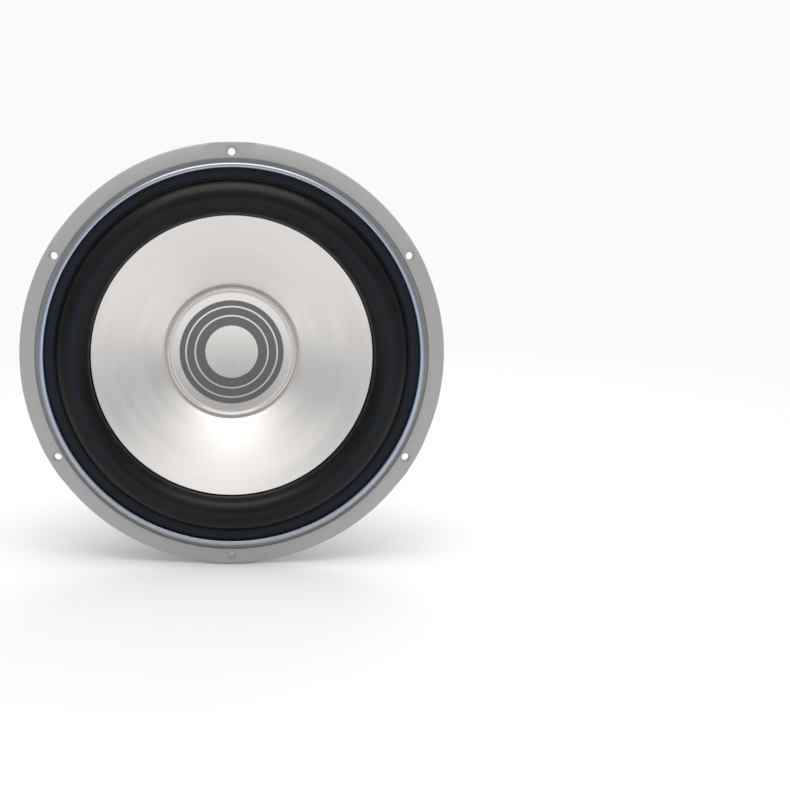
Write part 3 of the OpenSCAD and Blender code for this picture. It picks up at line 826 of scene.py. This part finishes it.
class DRIVER_OT_motor(bpy.types.Operator):
    """Finish the top plate and its screws, the ferrite rings, the rubber boot and the chrome back plate"""
    bl_idname = "driver.motor"
    bl_label = "Motor"

    def execute(self, context):
        zinc = chrome("Bright zinc", (0.60, 0.68, 0.78), 0.10, 0.24)
        eased_copy("top_plate", 0.0003, zinc, "frame")
        oxide = plated("Black oxide", (0.16, 0.16, 0.17))
        eased_copy("top_plate_screws", 0.0002, oxide, "frame")
        stone = ferrite()
        for node in ("front_magnet", "rear_magnet"):
            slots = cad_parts[node].data.materials
            slots[0] = stone
        self.boot()
        self.back_plate()
        return {"FINISHED"}

    def boot(self):
        """The moulded rubber sleeve, with a faint parting line round its middle."""
        middle = (BOOT_FRONT + BOOT_REAR) / 2
        inner = MAGNET_R + 0.1
        outline = eased([(inner, BOOT_FRONT, 0.2), (BOOT_R - 0.6, BOOT_FRONT, 0.9),
                         (BOOT_R, BOOT_FRONT + 2.4, 0.8), (BOOT_R, middle - 0.35, 0),
                         (BOOT_R - 0.12, middle, 0), (BOOT_R, middle + 0.35, 0),
                         (BOOT_R, BOOT_REAR - 2.8, 0.8), (BOOT_R - 0.9, BOOT_REAR, 1.0),
                         (inner, BOOT_REAR, 0.2)], 5)
        rubber = surround_rubber("Boot rubber", (0.36, 0.5))
        spun_piece("magnet_boot_sleeve", outline, rubber, "frame", ["magnet_boot"], sharp=50)

    def back_plate(self):
        """Pole and back plate in one, with the flared vent and the ring groove."""
        vent = 9.6
        rear = YOKE_REAR
        outline = eased([(vent + 1, POLE_TIP, 0.3), (24.2, POLE_TIP, 0.3), (25.2, POLE_TIP + 1, 0.3),
                         (25.2, BACK_PLATE_FRONT, 0.4), (72.2, BACK_PLATE_FRONT, 0.3),
                         (YOKE_R, BACK_PLATE_FRONT + 0.8, 0.4),
                         (YOKE_R, rear - 6.4, 0.8), (70.4, rear - 0.2, 0.9), (69.6, rear, 0.6),
                         (35.2, rear, 0.8), (32.8, rear - 3, 1.0), (28.2, rear - 3, 1.2),
                         (25.6, rear - 0.4, 1.2)], 6)
        outline += arc(vent + 6.5, rear - 7, 6.5, 78, 180, 16)
        outline += [(vent, POLE_TIP + 1)]
        spun_piece("t_yoke_chrome", outline, chrome("Polished chrome"), "frame", ["t_yoke"])


class DRIVER_OT_terminals(bpy.types.Operator):
    """Finish the strip, its screw, the nuts, the solder lugs and the push terminals"""
    bl_idname = "driver.terminals"
    bl_label = "Terminals"

    def execute(self, context):
        nickel = chrome("Nickel plating", (0.84, 0.80, 0.74), 0.08, 0.2)
        steel = plated("Plated steel", (0.74, 0.74, 0.75))
        tin = plated("Tin plating", (0.80, 0.78, 0.74), 0.28, 0.45)
        laminate = plastic("Black laminate", (0.018, 0.018, 0.02), 0.35, 0.5)
        red = plastic("Red button", (0.55, 0.012, 0.02), 0.12, 0.25, (0.7, 0.25, 0.25), coat_weight=0.4)
        black = plastic("Black button", (0.014, 0.014, 0.015), 0.12, 0.25, coat_weight=0.4)
        eased_copy("terminal_strip", 0.0004, laminate, "frame")
        eased_copy("terminal_screw", 0.00012, steel, "frame")
        eased_copy("terminal_nuts", 0.00022, steel, "frame")
        eased_copy("solder_lugs", 0.00015, tin, "frame")
        eased_copy("post_red", 0.00018, nickel, "frame")
        eased_copy("post_black", 0.00018, nickel, "frame")
        eased_copy("plunger_red", 0.0002, red, "red_button")
        eased_copy("plunger_black", 0.0002, black, "black_button")
        return {"FINISHED"}


class DRIVER_OT_springs(bpy.types.Operator):
    """Wind the two return springs inside the terminal barrels"""
    bl_idname = "driver.springs"
    bl_label = "Springs"

    def execute(self, context):
        steel = plated("Spring steel", (0.66, 0.66, 0.68), 0.2, 0.32)
        for colour in ("red", "black"):
            low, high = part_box("plunger_spring_" + colour)
            centre = (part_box("post_" + colour)[0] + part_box("post_" + colour)[1]) / 2
            wire, turns, steps = 0.00046, 4.0, 128
            bottom, top = low.y + wire / 2, high.y - wire / 2
            coil_r = (high.x - low.x) / 2 - wire / 2
            line = []
            for i in range(steps + 1):
                t = i / steps
                lift = min(max((t - 0.12) / 0.76, 0), 1)
                a = 2 * pi * turns * t
                line.append((centre.x + coil_r * cos(a), bottom + (top - bottom) * lift,
                             centre.z + coil_r * sin(a)))
            piece = wires("plunger_spring_%s_wound" % colour, [line], wire, steel, "frame",
                          ["plunger_spring_" + colour])
            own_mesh(piece)
        return {"FINISHED"}


# Route of one tinsel lead from its solder lug to the cone: distance from the axis, side, height, in metres
LEAD_ROUTE = [(0.0963, 0.0115, 0.0485), (0.0947, 0.0115, 0.0484), (0.0928, 0.0114, 0.0476),
              (0.0908, 0.0112, 0.0454), (0.0888, 0.0110, 0.0424), (0.0862, 0.0108, 0.0394),
              (0.0830, 0.0106, 0.0370), (0.0794, 0.0104, 0.0356), (0.0756, 0.0102, 0.0352),
              (0.0718, 0.0101, 0.0354), (0.0682, 0.0100, 0.0356), (0.0648, 0.0100, 0.0352),
              (0.0620, 0.0100, 0.0338), (0.0600, 0.0100, 0.0316), (0.0588, 0.0100, 0.0292),
              (0.0582, 0.0100, 0.0271)]


class DRIVER_OT_leads(bpy.types.Operator):
    """Twist the two tinsel leads and solder their ends"""
    bl_idname = "driver.leads"
    bl_label = "Tinsel leads"

    def execute(self, context):
        braid = tinsel_braid()
        tin = plated("Solder", (0.70, 0.70, 0.69), 0.18, 0.34, 900.0)
        brass = plated("Eyelet brass", (0.72, 0.55, 0.24), 0.2, 0.36)
        eased_copy("lead_eyelets", 0.00025, brass, "cone_assembly")
        for colour, side in (("red", 1), ("black", -1)):
            path = [at_terminals(x / MM, side * s / MM, y / MM) for x, s, y in flowing(LEAD_ROUTE, 8)]
            strands = self.twisted(path, context.scene.driver_shape.strands)
            lead = wires("tinsel_lead_%s_twisted" % colour, strands, 0.00074, braid, None,
                         ["tinsel_lead_" + colour])
            self.hang(lead, path)
        lug_beads, cone_beads = bmesh.new(), bmesh.new()
        for side in (-1, 1):
            bead(lug_beads, at_terminals(95.8, side * 11.5, 48.4), 1.5, 0.9, side)
            bead(cone_beads, at_terminals(57.6, side * 10.0, 26.6), 1.5, 0.7, side + 4)
        finish_piece("lug_solder", lug_beads, tin, "frame")
        finish_piece("eyelet_solder", cone_beads, tin, "cone_assembly")
        return {"FINISHED"}

    def twisted(self, path, count):
        """Lines of the strands that wind round a path."""
        pitch, offset = 0.0085, 0.00056
        lines = [[] for _ in range(count)]
        travelled = 0.0
        for i, point in enumerate(path):
            ahead = (path[min(i + 1, len(path) - 1)] - path[max(i - 1, 0)]).normalized()
            flat = ahead.cross(Vector((-1, 0, 1)).cross(AXIS)).normalized()
            other = ahead.cross(flat)
            if i:
                travelled += (point - path[i - 1]).length
            for k, line in enumerate(lines):
                a = 2 * pi * (travelled / pitch + k / count)
                line.append(point + (flat * cos(a) + other * sin(a)) * offset)
        return lines

    def hang(self, lead, path):
        """Let the lead bend from its lug, which is still, to the cone, which moves."""
        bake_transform(lead, "frame", "cone_assembly", start=path[0], end=path[-1])


class DRIVER_OT_stage(bpy.types.Operator):
    """Set the floor, the lights and the camera"""
    bl_idname = "driver.stage"
    bl_label = "Stage"

    def execute(self, context):
        stage = context.scene.driver_stage
        self.floor(stage)
        self.world()
        self.softbox("Key softbox", (0.0, -0.45, 1.35), (0, 0, 0), (1.5, 1.1), stage.key_power,
                     (1, 0.99, 0.97))
        low = self.softbox("Low front light", (0.0, -0.8, -0.11), (0, 0, 0.12), (0.9, 0.14),
                           stage.low_power, (0.22, 0.46, 1.0))
        edge = bpy.data.collections.new("Lit from below")
        for name in ("surround_rubber", "trim_ring_finish"):
            if name in bpy.data.objects:
                edge.objects.link(bpy.data.objects[name])
        low.light_linking.receiver_collection = edge
        self.softbox("Rear softbox", (0.4, 1.4, 1.1), (0, 0, 0), (1.3, 1.0), stage.rear_power, (1, 1, 1))
        self.camera(stage)
        context.scene.view_settings.view_transform = "Standard"
        return {"FINISHED"}

    def floor(self, stage):
        """A round floor that fades out into the backdrop."""
        bm = bmesh.new()
        bmesh.ops.create_circle(bm, cap_ends=True, segments=96, radius=2.4,
                                matrix=Matrix.Translation((0, 0, CAD_BOX[0].z - 0.0002)))
        mesh = bpy.data.meshes.new("floor")
        bm.to_mesh(mesh)
        bm.free()
        floor = bpy.data.objects.new("floor", mesh)
        bpy.context.scene.collection.objects.link(floor)
        finish = Finish("Pale floor", stage.floor, 0.8, specular_ior_level=0.0)
        spot = add(finish.tree, "TexCoord").outputs["Object"]
        parts = add(finish.tree, "SeparateXYZ", {0: spot}).outputs
        squares = [maths(finish.tree, "MULTIPLY", part, part) for part in parts[:2]]
        out = maths(finish.tree, "SQRT", maths(finish.tree, "ADD", *squares))
        finish.tree.links.new(ranged(finish.tree, out, 0.35, 1.5, 1.0, 0.0), finish.shader.inputs["Alpha"])
        cloud = add(finish.tree, "TexNoise", {"Vector": spot, "Scale": 6.0, "Detail": 3.0}).outputs[0]
        finish.tint(cloud, tuple(c * 0.97 for c in stage.floor), 0.5)
        floor.data.materials.append(finish.material)

    def world(self):
        """White behind the driver, and a softer graded room for it to reflect."""
        world = bpy.data.worlds.new("Studio")
        bpy.context.scene.world = world
        world.use_nodes = True
        tree = world.node_tree
        tree.nodes.clear()
        way = add(tree, "SeparateXYZ", {0: add(tree, "TexCoord").outputs["Generated"]}).outputs
        ramp = add(tree, "ValToRGB", {0: maths(tree, "MULTIPLY_ADD", way[2], 0.5, 0.5)})
        stops = ramp.color_ramp
        stops.elements[0].color = (0.80, 0.80, 0.80, 1)
        stops.elements[1].color = (0.95, 0.95, 0.96, 1)
        for at, level in ((0.42, 0.95), (0.5, 0.80), (0.6, 0.72), (0.75, 0.80)):
            stops.elements.new(at).color = (level, level, level * 1.02, 1)
        front = ranged(tree, way[1], -0.95, -0.6, 0.72, 1.0)
        side = ranged(tree, maths(tree, "ABSOLUTE", way[0]), 0.5, 0.9, 1.0, 0.6)
        strength = maths(tree, "MULTIPLY", front, side)
        room = add(tree, "Background", {"Color": ramp.outputs[0], "Strength": strength})
        white = add(tree, "Background", {"Color": (0.96, 0.96, 0.965, 1), "Strength": 1.0})
        seen = add(tree, "LightPath").outputs["Is Camera Ray"]
        shown = add(tree, "MixShader", {0: seen, 1: room.outputs[0], 2: white.outputs[0]})
        add(tree, "OutputWorld", {0: shown.outputs[0]})

    def softbox(self, name, place, aim, size, power, colour):
        """One soft rectangular light."""
        data = bpy.data.lights.new(name, "AREA")
        data.shape = "RECTANGLE"
        data.size, data.size_y = size
        data.energy = power
        data.color = colour
        lamp = bpy.data.objects.new(name, data)
        lamp.location = place
        lamp.rotation_euler = (Vector(aim) - Vector(place)).to_track_quat("-Z", "Y").to_euler()
        lamp.visible_camera = False
        bpy.context.scene.collection.objects.link(lamp)
        return lamp

    def camera(self, stage):
        """A camera in front, a little above the axis, with the driver framed to the left."""
        data = bpy.data.cameras.new("Camera")
        data.lens = stage.lens
        data.sensor_width = 36.0
        camera = bpy.data.objects.new("Camera", data)
        bpy.context.scene.collection.objects.link(camera)
        e = stage.elevation
        camera.location = Vector((0, -cos(e), sin(e))) * stage.distance
        camera.rotation_euler = (-camera.location).to_track_quat("-Z", "Y").to_euler()
        data.shift_x, data.shift_y = 0.2068, -0.0484
        bpy.context.scene.camera = camera


OPERATORS = (DRIVER_OT_basket, DRIVER_OT_trim_ring, DRIVER_OT_surround, DRIVER_OT_spider,
             DRIVER_OT_cone, DRIVER_OT_dust_cap, DRIVER_OT_voice_coil, DRIVER_OT_motor,
             DRIVER_OT_terminals, DRIVER_OT_springs, DRIVER_OT_leads, DRIVER_OT_stage)


class DRIVER_PT_build(bpy.types.Panel):
    """Settings and build steps of the driver"""
    bl_idname = "DRIVER_PT_build"
    bl_label = "Subwoofer Driver"
    bl_space_type = "VIEW_3D"
    bl_region_type = "UI"
    bl_category = "Driver"

    def draw(self, context):
        layout = self.layout
        for group in (context.scene.driver_finish, context.scene.driver_shape, context.scene.driver_stage):
            box = layout.box()
            for field in group.bl_rna.properties:
                if not field.is_readonly and field.identifier != "name":
                    box.prop(group, field.identifier)
        for operator in OPERATORS:
            layout.operator(operator.bl_idname)


CLASSES = (DriverFinish, DriverShape, DriverStage) + OPERATORS + (DRIVER_PT_build,)


def register():
    for item in CLASSES:
        bpy.utils.register_class(item)
    bpy.types.Scene.driver_finish = PointerProperty(type=DriverFinish)
    bpy.types.Scene.driver_shape = PointerProperty(type=DriverShape)
    bpy.types.Scene.driver_stage = PointerProperty(type=DriverStage)


def unregister():
    del bpy.types.Scene.driver_stage
    del bpy.types.Scene.driver_shape
    del bpy.types.Scene.driver_finish
    for item in reversed(CLASSES):
        bpy.utils.unregister_class(item)


def main():
    register()
    bpy.ops.driver.basket()
    bpy.ops.driver.trim_ring()
    bpy.ops.driver.surround()
    bpy.ops.driver.spider()
    bpy.ops.driver.cone()
    bpy.ops.driver.dust_cap()
    bpy.ops.driver.voice_coil()
    bpy.ops.driver.motor()
    bpy.ops.driver.terminals()
    bpy.ops.driver.springs()
    bpy.ops.driver.leads()
    bpy.ops.driver.stage()


if __name__ == "__main__":
    main()
